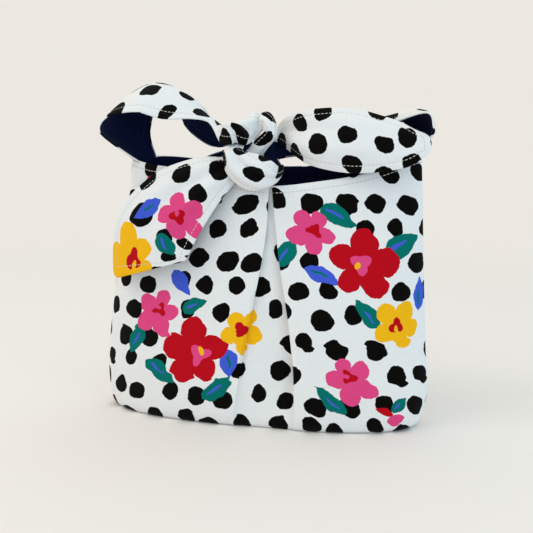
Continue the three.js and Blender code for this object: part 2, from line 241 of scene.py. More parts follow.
BODY = table(
    "height left right front back full round",
    (0, 135, 131, 39, 39, 2.8, 0.50),
    (3, 140, 136, 42, 42, 2.8, 0.50),
    (12, 143, 139, 44, 44, 2.7, 0.52),
    (34, 145, 143, 44, 44, 2.6, 0.55),
    (64, 143, 140, 42, 42, 2.5, 0.58),
    (100, 138, 138, 40, 39, 2.4, 0.58),
    (140, 131, 136, 37, 35, 2.3, 0.58),
    (182, 122, 134, 32, 31, 2.2, 0.57),
    (222, 117, 132, 28, 27, 2.0, 0.56),
)
RIM = table(
    "across front back",
    (-1, 222, 222),
    (-0.8, 217, 224),
    (-0.5, 213, 221),
    (-0.1, 203, 216),
    (0.1, 200, 215),
    (0.35, 203, 216),
    (0.7, 211, 220),
    (1, 225, 225),
)
PLEAT = table(
    "height left right tuck turn slack",
    (0, -14, 38, 1.5, 20, 1),
    (12, -13, 38, 3, 50, 0.6),
    (34, -10, 37.5, 5, 95, 0.3),
    (64, -5, 36, 7, 125, 0.25),
    (100, 1, 32, 8, 140, 0.3),
    (140, 7, 25.5, 9, 155, 0.45),
    (182, 12, 19.5, 11, 170, 0.7),
    (222, 13, 15.2, 13, 180, 1),
)
PLEAT_PITCH = 1.5  # between the layers of the pleat
PLEAT_START = 1  # from a fold back to where the cloth starts to bend
PLEAT_EASE = 22  # how far past the folds the front lining is held back by the pleat
PLEAT_CLEARANCE = 0.6  # from the back of the pleat to the front lining, past the usual inset
BASE_SEAM_SHARE = 0.86  # length of the seam under the base, as a share of the base
HALF_COLUMNS = 60
BEND_STEPS, TUCK_STEPS, UNDER_COLUMNS = 8, 6, 12


def body_point(side, height, x, inset, tuck=0.0):
    """Point of a panel at a height share of its rim and at x, moved in by inset and tuck."""
    plan = read(BODY, "height", height)
    width = np.where(x < 0, plan["left"], plan["right"]) - inset * SIDE_SHARE
    across = np.clip(x / width, -1, 1)
    rim = read(RIM, "across", across)[side]
    low = CLOTH + inset
    z = low + (rim - low) * height / SIDE_HEIGHT
    full_depth = (plan[side] - inset) * (1 - np.abs(across) ** plan["full"]) ** plan["round"]
    depth = full_depth + SEAM_GAP / 2 - tuck
    return np.stack([x + 0 * z, -depth if side == "front" else depth, z], axis=-1)


def seam_wave(seam, end, t):
    """x at a share t of the way from a seam to end, close together at the seam."""
    end_angle = math.asin(np.clip(end / seam, -1, 1))
    return seam * np.sin(math.pi / 2 + (end_angle - math.pi / 2) * t)


def pleat_path(tuck, turn_degrees, bend_steps, tuck_steps):
    """The way of the cloth round one side of the pleat, as (x, tuck) from its start."""
    turn = math.radians(turn_degrees)
    bend = math.pi * PLEAT_PITCH / 2 / bend_steps
    into = [(turn * (k + 0.5) / bend_steps, bend) for k in range(bend_steps)]
    straight = [(turn, tuck / tuck_steps)] * tuck_steps
    steps = np.array(into + straight + into[::-1])
    moves = np.stack([np.cos(steps[:, 0]) * steps[:, 1], np.sin(steps[:, 0]) * steps[:, 1]], axis=-1)
    return np.vstack([[0, 0], np.cumsum(moves, axis=0)])


def pleated_columns(height):
    """x and tuck of the front panel's columns, from the left seam round the pleat to the right one."""
    plan = at_height(BODY, height)
    fold = at_height(PLEAT, height)
    path = pleat_path(fold["tuck"], fold["turn"], BEND_STEPS, TUCK_STEPS)
    soft_path = path * fold["slack"]
    start_left = fold["left"] - PLEAT_START
    start_right = fold["right"] + PLEAT_START
    share = np.linspace(0, 1, HALF_COLUMNS + 1)[:-1]
    left_x = seam_wave(-plan["left"], start_left, share)
    right_x = seam_wave(plan["right"], start_right, share)[::-1]
    fold_left = np.stack([start_left + soft_path[:, 0], soft_path[:, 1]], axis=-1)
    fold_right = np.stack([start_right - path[:, 0], path[:, 1]], axis=-1)[::-1]
    between = np.linspace(fold_left[-1], fold_right[0], UNDER_COLUMNS + 2)[1:-1]
    left_flat, right_flat = (np.stack([x, 0 * x], axis=-1) for x in (left_x, right_x))
    return np.vstack([left_flat, fold_left, between, fold_right, right_flat])


def plain_columns(height, inset, extra_tuck=None):
    """x and tuck of the columns of a panel without a pleat."""
    plan = read(BODY, "height", height)
    wave = np.sin(np.linspace(-0.5, 0.5, 2 * HALF_COLUMNS + 1) * math.pi)
    x = wave * (np.where(wave < 0, plan["left"], plan["right"]) - inset * SIDE_SHARE)
    tuck = 0 * x if extra_tuck is None else extra_tuck(x, height)
    return np.stack([x, tuck], axis=-1)


BASE_SHARES = np.linspace(0, 0.95, 14)
CORNER_HEIGHT = 14  # up to here the wall has closer rows
LOW_HEIGHTS = np.linspace(0, CORNER_HEIGHT, 12)[:-1]
WALL_HEIGHTS = np.concatenate([LOW_HEIGHTS, np.linspace(CORNER_HEIGHT, SIDE_HEIGHT, 90)])
CREASE_FADE = 0.25  # share of its length over which a crease fades, before and past either end


def panel_grid(side, inset, columns_at):
    """Rows of a panel from its middle seam under the base, out to the edge and up to the rim."""
    seam = -SEAM_GAP / 2 if side == "front" else SEAM_GAP / 2
    columns = [columns_at(height) for height in WALL_HEIGHTS]
    wall = [body_point(side, height, c[:, 0], inset, c[:, 1]) for height, c in zip(WALL_HEIGHTS, columns)]
    outline = wall[0]
    base = []
    for share in BASE_SHARES:
        row = outline.copy()
        row[:, 0] *= BASE_SEAM_SHARE + (1 - BASE_SEAM_SHARE) * share
        row[:, 1] = seam + (outline[:, 1] - seam) * share
        base.append(row)
    grid = np.array(base + wall)
    return grid[:, ::-1] if side == "front" else grid


def crease(points_x, points_z, creases):
    """Depth of the listed soft troughs and ridges at points of a wall."""
    depth = np.zeros_like(points_x)
    for x, z, to_x, to_z, width, lift, bow in zip(*creases.values()):
        length = math.hypot(to_x - x, to_z - z)
        way_x, way_z = (to_x - x) / length, (to_z - z) / length
        dx, dz = points_x - x, points_z - z
        share = (dx * way_x + dz * way_z) / length
        apart = dz * way_x - dx * way_z - bow * 4 * share * (1 - share)
        fade_in = smooth((share + CREASE_FADE) / (2 * CREASE_FADE))
        fade_out = smooth((1 + CREASE_FADE - share) / (2 * CREASE_FADE))
        depth += lift * hump(apart, width) * fade_in * fade_out
    return depth


def new_sheet(name, grid, uv, material):
    """A closed sheet of cloth on a grid of millimetre points, with its flat cloth as UV in metres."""
    rows, columns = grid.shape[:2]
    normal = normals_of(grid)
    half = CLOTH / 2
    points = np.concatenate([(grid + normal * half).reshape(-1, 3), (grid - normal * half).reshape(-1, 3)])
    layer = rows * columns
    index = np.arange(layer).reshape(rows, columns)
    a, b, c, d = index[:-1, :-1], index[1:, :-1], index[1:, 1:], index[:-1, 1:]
    outer = np.stack([a, b, c, d], axis=-1).reshape(-1, 4)
    inner = np.stack([a, d, c, b], axis=-1).reshape(-1, 4) + layer
    loop = np.concatenate([index[0, :-1], index[:-1, -1], index[-1, :0:-1], index[:0:-1, 0]])
    after = np.roll(loop, -1)
    edge = np.stack([loop, after, after + layer, loop + layer], axis=-1)
    faces = np.concatenate([outer, inner, edge])
    mesh = bpy.data.meshes.new(name)
    mesh.from_pydata((points * MM).tolist(), [], faces.tolist())
    layer_uv = mesh.uv_layers.new(name="cloth")
    flat = np.concatenate([uv.reshape(-1, 2)] * 2) * MM
    corner = np.empty(len(mesh.loops), dtype=np.int32)
    mesh.loops.foreach_get("vertex_index", corner)
    layer_uv.data.foreach_set("uv", flat[corner].astype(np.float32).ravel())
    mesh.polygons.foreach_set("use_smooth", [True] * len(mesh.polygons))
    mesh.materials.append(material)
    mesh.update()
    return new_object(name, mesh)


# The cotton is a strong white plain weave, printed with a repeat of uneven black spots, simple
# open flowers in red, pink and yellow, and teal and blue leaves, as if drawn by hand. Single
# sizes of the print are in metres of cloth, the tables of its motifs in millimetres.

REPEAT_WIDTH, REPEAT_HEIGHT = 0.320, 0.800
SPOT_PITCH = 0.0272
SPOT_RADIUS = 0.0080
BLOOM_MARGIN = 2  # millimetres kept free of spots round a flower
SPOT_JITTER = 0.34  # how far spots stray from even rows
SPOT_SMALL, SPOT_SPREAD = 0.92, 0.18  # shares of that radius: the smallest, and what the largest adds
SPOT_WIDE, SPOT_SQUEEZE = 0.86, 0.34  # the least that a spot is squeezed sideways, and what the most adds
INK_EDGE = 0.0003
DRIFT, DRIFT_SCALE = 0.0046, 75.0  # slow wander of the outlines
FRAY, FRAY_SCALE = 0.0009, 420.0  # and their small roughness


def ink(red, green, blue):
    """A linear colour from the usual 0 to 255 scale."""
    share = np.array([red, green, blue]) / 255
    linear = np.where(share < 0.04045, share / 12.92, ((share + 0.055) / 1.055) ** 2.4)
    return (*linear.tolist(), 1.0)


WHITE = ink(234, 236, 236)
BLACK = ink(6, 5, 4)
RED = ink(188, 8, 26)
PINK = ink(226, 72, 132)
YELLOW = ink(246, 186, 22)
TEAL = ink(0, 112, 104)
BLUE = ink(66, 92, 210)


def calc(tree, operation, *inputs, clamp=False):
    return wire(tree, "ShaderNodeMath", *inputs, operation=operation, use_clamp=clamp)


def joined(tree, x, y, z):
    return wire(tree, "ShaderNodeCombineXYZ", x, y, z)


def fill(tree, made, values):
    """Fills a node's inputs by name and returns its first output socket."""
    for name, value in values.items():
        if isinstance(value, bpy.types.NodeSocket):
            tree.links.new(value, made.inputs[name])
        else:
            made.inputs[name].default_value = value
    return made.outputs[0]


def new_group(name, inputs, outputs, tree_kind="ShaderNodeTree"):
    """A node group from (label, kind) pairs, with its input sockets and output sockets."""
    group = bpy.data.node_groups.new(name, tree_kind)
    for label, kind in inputs:
        group.interface.new_socket(label, in_out="INPUT", socket_type="NodeSocket" + kind)
    for label, kind in outputs:
        group.interface.new_socket(label, in_out="OUTPUT", socket_type="NodeSocket" + kind)
    given = group.nodes.new("NodeGroupInput").outputs
    wanted = group.nodes.new("NodeGroupOutput").inputs
    return group, given, wanted


def use_group(tree, group, values):
    made = tree.nodes.new("ShaderNodeGroup")
    made.node_tree = group
    return fill(tree, made, values)


def stamp(tree, room):
    """A mask with a crisp edge from the distance left to an outline, in metres."""
    return calc(tree, "MULTIPLY_ADD", room, 1 / INK_EDGE, 0.5, clamp=True)


def from_motif(tree, cloth, centre):
    """Place on the cloth from the nearest copy of a motif."""
    half = (REPEAT_WIDTH / 2, REPEAT_HEIGHT / 2, 1)
    return vector(tree, "WRAP", vector(tree, "SUBTRACT", cloth, centre), half, tuple(-x for x in half))


def motif_way(tree, given):
    """Place on the cloth from the nearest copy of a motif, turned with it."""
    near = from_motif(tree, given["Cloth"], given["Centre"])
    return wire(tree, "ShaderNodeVectorRotate", near, None, None, given["Turn"], rotation_type="Z_AXIS")


# An open flower of five uneven petals, with a three-lobed heart and a small accent on it. Its
# reaches are shares of its radius.
PETAL_COUNT = 5
PETAL_NOTCH, PETAL_LENGTH, PETAL_LEAN, PETAL_BLUNT = 0.60, 0.42, 0.12, 0.75
HEART_LOBES, HEART_REACH, HEART_LOBE = 3, 0.27, 0.07
ACCENT_REACH = 0.085
bloom, given, wanted = new_group(
    "bloom",
    [("Cloth", "Vector"), ("Under", "Color"), ("Centre", "Vector"), ("Radius", "Float"), ("Turn", "Float"),
     ("Petals", "Color"), ("Heart", "Color"), ("Accent", "Color")],
    [("Color", "Color")],
)
way = motif_way(bloom, given)
angle = calc(bloom, "ARCTAN2", coordinate(bloom, way, 1), coordinate(bloom, way, 0))
swing = calc(bloom, "COSINE", calc(bloom, "MULTIPLY", angle, PETAL_COUNT / 2))
lobes = calc(bloom, "POWER", calc(bloom, "ABSOLUTE", swing), PETAL_BLUNT)
lean = calc(bloom, "SINE", calc(bloom, "ADD", angle, given["Turn"]))
uneven = calc(bloom, "MULTIPLY_ADD", lean, PETAL_LEAN, 1.0)
reach = calc(bloom, "MULTIPLY", calc(bloom, "MULTIPLY_ADD", lobes, PETAL_LENGTH, PETAL_NOTCH), uneven)
out_to = calc(bloom, "MULTIPLY", reach, given["Radius"])
petals = stamp(bloom, calc(bloom, "SUBTRACT", out_to, vector(bloom, "LENGTH", way, out=1)))
sized = vector(bloom, "DIVIDE", way, joined(bloom, given["Radius"], given["Radius"], given["Radius"]))
heart_way = vector(bloom, "SUBTRACT", sized, (0.08, -0.05, 0))
heart_angle = calc(bloom, "ARCTAN2", coordinate(bloom, heart_way, 1), coordinate(bloom, heart_way, 0))
heart_swing = calc(bloom, "COSINE", calc(bloom, "MULTIPLY", heart_angle, HEART_LOBES))
heart_reach = calc(bloom, "MULTIPLY_ADD", heart_swing, HEART_LOBE, HEART_REACH)
heart_room = calc(bloom, "SUBTRACT", heart_reach, vector(bloom, "LENGTH", heart_way, out=1))
heart = stamp(bloom, calc(bloom, "MULTIPLY", heart_room, given["Radius"]))
accent_way = vector(bloom, "MULTIPLY", vector(bloom, "SUBTRACT", sized, (0.14, 0.06, 0)), (1, 0.6, 1))
accent_room = calc(bloom, "SUBTRACT", ACCENT_REACH, vector(bloom, "LENGTH", accent_way, out=1))
accent = stamp(bloom, calc(bloom, "MULTIPLY", accent_room, given["Radius"]))
colour = blend(bloom, given["Under"], given["Petals"], petals)
colour = blend(bloom, colour, given["Heart"], heart)
bloom.links.new(blend(bloom, colour, given["Accent"], accent), wanted["Color"])

# A pointed leaf or bud, broader at its stalk, with a short brush stroke along it
LEAF_POINT, LEAF_TAPER, LEAF_EDGE = 0.8, -0.35, 0.0002
STROKE_SHORT, STROKE_BACK, STROKE_THIN, STROKE_ASIDE, STROKE_SIZE = 2.2, 0.4, 6.0, -0.6, 0.002
leaf, given, wanted = new_group(
    "leaf",
    [("Cloth", "Vector"), ("Under", "Color"), ("Centre", "Vector"), ("Length", "Float"), ("Width", "Float"),
     ("Turn", "Float"), ("Blade", "Color"), ("Stroke", "Color")],
    [("Color", "Color")],
)
way = motif_way(leaf, given)
share = calc(leaf, "DIVIDE", coordinate(leaf, way, 0), given["Length"])
side = coordinate(leaf, way, 1)
square = calc(leaf, "MULTIPLY", share, share)
tip = calc(leaf, "POWER", calc(leaf, "SUBTRACT", 1.0, square, clamp=True), LEAF_POINT)
taper = calc(leaf, "MULTIPLY_ADD", share, LEAF_TAPER, 1.0)
wide = calc(leaf, "MULTIPLY", calc(leaf, "MULTIPLY", tip, taper), given["Width"])
blade_room = calc(leaf, "SUBTRACT", wide, calc(leaf, "ABSOLUTE", side))
blade = stamp(leaf, calc(leaf, "SUBTRACT", blade_room, LEAF_EDGE))
stroke_along = calc(leaf, "MULTIPLY_ADD", share, STROKE_SHORT, STROKE_BACK)
side_share = calc(leaf, "DIVIDE", side, given["Width"])
stroke_across = calc(leaf, "MULTIPLY_ADD", side_share, STROKE_THIN, STROKE_ASIDE)
stroke_way = joined(leaf, stroke_along, stroke_across, 0.0)
stroke_room = calc(leaf, "SUBTRACT", 1.0, vector(leaf, "LENGTH", stroke_way, out=1))
stroke = calc(leaf, "MULTIPLY", stamp(leaf, calc(leaf, "MULTIPLY", stroke_room, STROKE_SIZE)), blade)
colour = blend(leaf, given["Under"], given["Blade"], blade)
leaf.links.new(blend(leaf, colour, given["Stroke"], stroke), wanted["Color"])

# Keeps a spot only where it stands clear of a flower
clearing, given, wanted = new_group(
    "clearing",
    [("Spot", "Vector"), ("Kept", "Float"), ("Centre", "Vector"), ("Radius", "Float")],
    [("Kept", "Float")],
)
apart = vector(clearing, "LENGTH", from_motif(clearing, given["Spot"], given["Centre"]), out=1)
kept = calc(clearing, "GREATER_THAN", apart, given["Radius"])
clearing.links.new(calc(clearing, "MULTIPLY", kept, given["Kept"]), wanted["Kept"])

BLOOMS = [
    # u, v, radius, turn, petals, heart, accent
    (-66, 62, 29, 0.4, RED, PINK, YELLOW),
    (-104, 96, 21, 1.3, PINK, RED, PINK),
    (-26, 84, 20, 2.2, YELLOW, RED, RED),
    (62, 168, 19, 0.9, PINK, RED, RED),
    (98, 140, 28, 2.7, RED, PINK, YELLOW),
    (126, 92, 20, 3.6, YELLOW, RED, YELLOW),
    (80, 48, 20, 1.9, PINK, RED, PINK),
    (-118, 196, 24, 0.2, RED, PINK, BLUE),
    (-58, 232, 21, 2.0, YELLOW, RED, RED),
    (-112, 352, 24, 1.1, YELLOW, RED, PINK),
    (18, 330, 27, 3.1, RED, PINK, YELLOW),
]
LEAVES = [
    # u, v, half length, half width, turn, blade, stroke
    (-44, 34, 17, 8, 0.7, TEAL, BLUE),
    (-98, 44, 16, 8, -0.6, TEAL, BLUE),
    (-36, 56, 13, 7, -1.2, BLUE, TEAL),
    (-126, 72, 15, 7, 1.2, TEAL, BLUE),
    (-84, 122, 14, 7, -0.9, BLUE, BLUE),
    (-70, 104, 12, 6, 0.5, TEAL, BLUE),
    (84, 180, 15, 8, -0.5, TEAL, BLUE),
    (38, 150, 14, 7, 0.9, TEAL, BLUE),
    (66, 132, 15, 7, -0.4, BLUE, TEAL),
    (132, 158, 17, 9, 0.5, TEAL, BLUE),
    (100, 102, 14, 7, 2.3, TEAL, BLUE),
    (146, 118, 14, 6, 1.5, BLUE, TEAL),
    (60, 30, 15, 7, 2.3, TEAL, BLUE),
    (-92, 206, 14, 7, 0.3, TEAL, BLUE),
    (-140, 172, 14, 7, 0.9, BLUE, TEAL),
    (14, 224, 8, 4, 0.3, RED, RED),
    (22, 214, 8, 5, -0.9, PINK, PINK),
    (26, 226, 9, 5, 0.9, TEAL, BLUE),
    (102, 22, 8, 4, 2.8, RED, RED),
    (111, 14, 8, 5, 0.2, PINK, PINK),
    (116, 27, 9, 5, 0.8, TEAL, BLUE),
    (-84, 330, 15, 7, 0.3, TEAL, BLUE),
    (46, 306, 15, 7, -0.7, TEAL, BLUE),
]
# The stretch of the cloth that the ties are cut from, with flowers only at their ends
TIE_BLOOMS = [
    (66, 694, 25, 0.6, YELLOW, RED, YELLOW),
    (92, 640, 22, 2.4, PINK, RED, PINK),
]
TIE_LEAVES = [
    (98, 676, 14, 8, 0.9, TEAL, BLUE),
    (66, 656, 12, 6, 2.0, BLUE, TEAL),
    (88, 718, 14, 7, 0.2, TEAL, BLUE),
    (-64, 700, 9, 4, 0.3, RED, RED),
    (-56, 690, 9, 5, -0.8, PINK, PINK),
    (-50, 703, 10, 5, 0.9, TEAL, BLUE),
]


THREAD_PITCH = 0.00045
SLUB_LENGTHWISE, SLUB_ACROSS = 90, 1400  # slubs to a metre, along a thread and across it
SLUB_SHADE = 0.10
CRUMPLE_SCALE = 26.0
THREAD_RISE, SLUB_RISE, CRUMPLE_RISE = 0.04, 0.06, 0.9  # shares of a millimetre


def wave(tree, cloth, axis):
    """The ups and downs of threads along one axis of the cloth."""
    turns = calc(tree, "MULTIPLY", coordinate(tree, cloth, axis), 2 * math.pi / THREAD_PITCH)
    return calc(tree, "SINE", turns)


def slub(tree, cloth, scale):
    """Thick places in single threads."""
    return wire(tree, "ShaderNodeTexNoise", vector(tree, "MULTIPLY", cloth, scale), None, 1.0, 2.0)


def cotton_shader(tree, output, colour, cloth, roughness):
    """Plain-weave cotton: fine thread bump, slubs, soft creasing and a little sheen."""
    threads = calc(tree, "MULTIPLY", wave(tree, cloth, 0), wave(tree, cloth, 1))
    warp = slub(tree, cloth, (SLUB_ACROSS, SLUB_LENGTHWISE, 1))
    weft = slub(tree, cloth, (SLUB_LENGTHWISE, SLUB_ACROSS, 1))
    slubs = calc(tree, "ADD", warp, weft)
    crumple = wire(tree, "ShaderNodeTexNoise", cloth, None, CRUMPLE_SCALE, 3.0, 0.5)
    shade = calc(tree, "MULTIPLY_ADD", slubs, SLUB_SHADE, 1 - SLUB_SHADE)
    shaded = vector(tree, "MULTIPLY", colour, joined(tree, shade, shade, shade))
    height = calc(tree, "MULTIPLY_ADD", threads, THREAD_RISE, calc(tree, "MULTIPLY", slubs, SLUB_RISE))
    height = calc(tree, "MULTIPLY_ADD", crumple, CRUMPLE_RISE, height)
    bump = fill(tree, tree.nodes.new("ShaderNodeBump"), {
        "Distance": MM, "Strength": 0.5, "Height": height,
    })
    surface = fill(tree, tree.nodes.new("ShaderNodeBsdfPrincipled"), {
        "Base Color": shaded, "Roughness": roughness, "Specular IOR Level": 0.03, "Sheen Weight": 0.03,
        "Sheen Roughness": 0.6, "Normal": bump,
    })
    tree.links.new(surface, output.inputs["Surface"])


def wander(tree, cloth, scale, reach):
    """How far an outline strays sideways and up at a place on the cloth."""
    noise = wire(tree, "ShaderNodeTexNoise", cloth, None, scale, 1.0, out=1, noise_dimensions="2D")
    return vector(tree, "SCALE", vector(tree, "SUBTRACT", noise, (0.5, 0.5, 0.5)), None, None, reach)


def printed_cotton(name, blooms, leaves):
    """White cotton with staggered rows of black spots, clear of the flowers, under leaves and flowers."""
    material, tree, output = new_material(name)
    cloth = wire(tree, "ShaderNodeUVMap", uv_map="cloth")
    drift = wander(tree, cloth, DRIFT_SCALE, DRIFT)
    drawn = vector(tree, "ADD", cloth, vector(tree, "ADD", drift, wander(tree, cloth, FRAY_SCALE, FRAY)))
    row_pitch = SPOT_PITCH * math.sqrt(3) / 2
    up = calc(tree, "DIVIDE", coordinate(tree, drawn, 1), row_pitch)
    across = calc(tree, "DIVIDE", coordinate(tree, drawn, 0), SPOT_PITCH)
    slant = calc(tree, "MULTIPLY_ADD", up, -0.5, across)
    cells = tree.nodes.new("ShaderNodeTexVoronoi")
    cells.voronoi_dimensions = "2D"
    fill(tree, cells, {"Vector": joined(tree, slant, up, 0.0), "Scale": 1.0, "Randomness": SPOT_JITTER})
    spot_up = coordinate(tree, cells.outputs["Position"], 1)
    spot_across = calc(tree, "MULTIPLY_ADD", spot_up, 0.5, coordinate(tree, cells.outputs["Position"], 0))
    spot_x = calc(tree, "MULTIPLY", spot_across, SPOT_PITCH)
    spot = joined(tree, spot_x, calc(tree, "MULTIPLY", spot_up, row_pitch), 0.0)
    lot = coordinate(tree, cells.outputs["Color"], 0)
    lot_shape = coordinate(tree, cells.outputs["Color"], 1)
    shape = joined(tree, calc(tree, "MULTIPLY_ADD", lot_shape, SPOT_SQUEEZE, SPOT_WIDE), 1.0, 1.0)
    from_spot = vector(tree, "MULTIPLY", vector(tree, "SUBTRACT", drawn, spot), shape)
    radius = calc(tree, "MULTIPLY_ADD", lot, SPOT_SPREAD * SPOT_RADIUS, SPOT_SMALL * SPOT_RADIUS)
    room = calc(tree, "SUBTRACT", radius, vector(tree, "LENGTH", from_spot, out=1))
    kept = 1.0
    for u, v, radius_mm, *_ in blooms:
        kept = use_group(tree, clearing, {
            "Spot": spot, "Kept": kept, "Centre": (u * MM, v * MM, 0),
            "Radius": (radius_mm + BLOOM_MARGIN) * MM,
        })
    spots = calc(tree, "MULTIPLY", stamp(tree, room), kept)
    colour = blend(tree, WHITE, BLACK, spots)
    for u, v, length, width, turn, blade, stroke in leaves:
        colour = use_group(tree, leaf, {
            "Cloth": drawn, "Under": colour, "Centre": (u * MM, v * MM, 0), "Length": length * MM,
            "Width": width * MM, "Turn": -turn, "Blade": blade, "Stroke": stroke,
        })
    for u, v, radius_mm, turn, petals, heart, accent in blooms:
        colour = use_group(tree, bloom, {
            "Cloth": drawn, "Under": colour, "Centre": (u * MM, v * MM, 0), "Radius": radius_mm * MM,
            "Turn": -turn, "Petals": petals, "Heart": heart, "Accent": accent,
        })
    cotton_shader(tree, output, colour, cloth, 0.85)
    return material


panel_print = printed_cotton("panel_cotton", BLOOMS, LEAVES)
tie_print = printed_cotton("tie_cotton", TIE_BLOOMS, TIE_LEAVES)

# Soft troughs and ridges of the front: the ends of the pleat and slack under the knot
FRONT_CREASES = table(
    "x z to_x to_z width lift bow",
    (4, 112, -14, 44, 7, -0.9, 2),
    (-4, 96, -24, 30, 9, 0.8, -3),
    (30, 60, 34, 14, 8, -0.7, 0),
    (-60, 170, -84, 96, 16, -1.1, 6),
    (70, 196, 56, 120, 18, -0.9, -5),
    (104, 190, 112, 90, 14, 0.8, 4),
    (-118, 120, -96, 30, 15, 0.9, -4),
    (40, 150, 52, 60, 16, 0.7, 5),
)
BACK_CREASES = table(
    "x z to_x to_z width lift bow",
    (-70, 205, -50, 90, 18, -1.2, 8),
    (20, 200, 0, 100, 16, -1.0, -5),
    (80, 190, 60, 60, 18, 1.0, 6),
    (-20, 90, -60, 20, 16, 0.8, 4),
)
HEM_STITCH = 5.0
HEM_LIFT = 0.2  # from the middle of the cloth up to the thread in its groove
HEM_PUFF, HEM_PUFF_WIDTH = 0.22, 1.8  # how full the hem is above its stitching
HEM_GROOVE, HEM_GROOVE_WIDTH = 0.28, 0.9  # and how deep the stitching lies
RIM_ROLL, RIM_STEP = 0.45, 1.0  # radius of the turned edge, and a step of the cloth down inside it
RIM_TURNS = (35, 70, 110, 145, 180)
CREASE_LOW, CREASE_RISE = 4, 20  # creases start this high and are full so much higher
CREASE_LEFT, CREASE_RIGHT, CREASE_SIDE = -146, 144, 30  # and fade within so much of the seams


def with_rim(grid):
    """Presses the stitched hem into a panel and rolls its top edge inwards."""
    normal = normals_of(grid)
    below = along(grid, 0)
    below = below[-1] - below
    press = HEM_PUFF * hump(below - HEM_STITCH / 2, HEM_PUFF_WIDTH)
    press = press - HEM_GROOVE * hump(below - HEM_STITCH, HEM_GROOVE_WIDTH)
    grid = grid + normal * press[..., None]
    up = unit(grid[-1] - grid[-2])
    out = normal[-1]
    roll = []
    for turn in np.radians(RIM_TURNS):
        roll.append(grid[-1] + up * RIM_ROLL * math.sin(turn) - out * RIM_ROLL * (1 - math.cos(turn)))
    for _ in range(2):
        roll.append(roll[-1] - up * RIM_STEP)
    return np.concatenate([grid, np.array(roll)])


def panel_uv(grid, middle_x, wall_row, origin):
    """Flat cloth under a panel: across from its middle line and up from the edge of the base."""
    across = along(grid, 1)
    middle = np.argmin(np.abs(grid[:, :, 0] - middle_x), axis=1)
    across = across - np.take_along_axis(across, middle[:, None], axis=1)
    if grid[wall_row, 0, 0] > grid[wall_row, -1, 0]:
        across = -across
    up = along(grid, 0)
    up = up - up[wall_row]
    return np.stack([across + origin[0], up + origin[1]], axis=-1)


def settle(grid, creases):
    """Adds the listed creases to a wall, fading out towards its seams and base."""
    normal = normals_of(grid)
    depth = crease(grid[..., 0], grid[..., 2], creases)
    low = smooth((grid[..., 2] - CREASE_LOW) / CREASE_RISE)
    from_seams = np.minimum(grid[..., 0] - CREASE_LEFT, CREASE_RIGHT - grid[..., 0])
    sides = smooth(from_seams / CREASE_SIDE)
    return grid + normal * (depth * low * sides)[..., None]


def stitch_row(grid):
    """Points and facing of the line of stitching below the rim of a panel."""
    down = along(grid, 0)
    down = down[-1] - down
    normal = normals_of(grid)
    points, ups = [], []
    for j in range(grid.shape[1]):
        k = np.count_nonzero(down[:, j] >= HEM_STITCH) - 1
        share = (down[k, j] - HEM_STITCH) / (down[k, j] - down[k + 1, j])
        points.append(grid[k, j] + (grid[k + 1, j] - grid[k, j]) * share + normal[k, j] * HEM_LIFT)
        ups.append(normal[k, j])
    return np.array(points), np.array(ups)


front_grid = settle(panel_grid("front", 0, pleated_columns), FRONT_CREASES)
back_grid = settle(panel_grid("back", 0, lambda height: plain_columns(height, 0)), BACK_CREASES)
wall_row = len(BASE_SHARES)
FRONT_MIDDLE = 14  # x of the line from which the front is cut, under the pleat
BACK_CUT = (165, 90)  # where the back is cut from the print
front_rimmed = with_rim(front_grid)
back_rimmed = with_rim(back_grid)
front_flat = panel_uv(front_rimmed, FRONT_MIDDLE, wall_row, (0, 0))
back_flat = panel_uv(back_rimmed, 0, wall_row, BACK_CUT)
front_cloth = new_sheet("front_cloth", front_rimmed, front_flat, panel_print)
back_cloth = new_sheet("back_cloth", back_rimmed, back_flat, panel_print)
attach(front_cloth, "root")
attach(back_cloth, "root")
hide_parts("panel_front")
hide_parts("panel_back")

# ---- lining
# Two pieces of plain navy cotton, cut like the outer panels but without a pleat, and sewn in at
# the rim. They show in the mouth of the bag.

NAVY = ink(20, 28, 66)

navy_cotton, tree, output = new_material("navy_cotton")
cloth = wire(tree, "ShaderNodeUVMap", uv_map="cloth")
deep = wire(tree, "ShaderNodeTexNoise", cloth, None, 40.0, 2.0)
dye = blend(tree, NAVY, (*(0.75 * c for c in NAVY[:3]), 1.0), deep)
cotton_shader(tree, output, dye, cloth, 0.88)


def behind_pleat(x, height):
    """How far the front lining keeps back from the layers of the pleat."""
    fold = at_height(PLEAT, height)
    layers = pleat_path(fold["tuck"], fold["turn"], 3, 1)[-1, 1] + PLEAT_CLEARANCE
    middle = (fold["left"] + fold["right"]) / 2
    reach = (fold["right"] - fold["left"]) / 2 + PLEAT_EASE
    return layers * smooth(2 - np.abs(x - middle) / reach)


linings = {}
for side, extra in (("front", behind_pleat), ("back", None)):
    grid = panel_grid(side, LINING_INSET, lambda height: plain_columns(height, LINING_INSET, extra))
    uv = panel_uv(grid, 0, wall_row, (0, 0))
    name = side + "_lining"
    linings[side] = new_sheet(name, grid, uv, navy_cotton)
    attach(linings[side], "root")
    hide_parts("lining_" + side)

# ---- ties
# Each tie is a strip of printed cotton backed with navy, turned and topstitched all round. The left
# one makes the loop, goes over the knot as an arch and hangs down in front; the right one passes
# behind, wraps the knot from the left and leaves to the right.

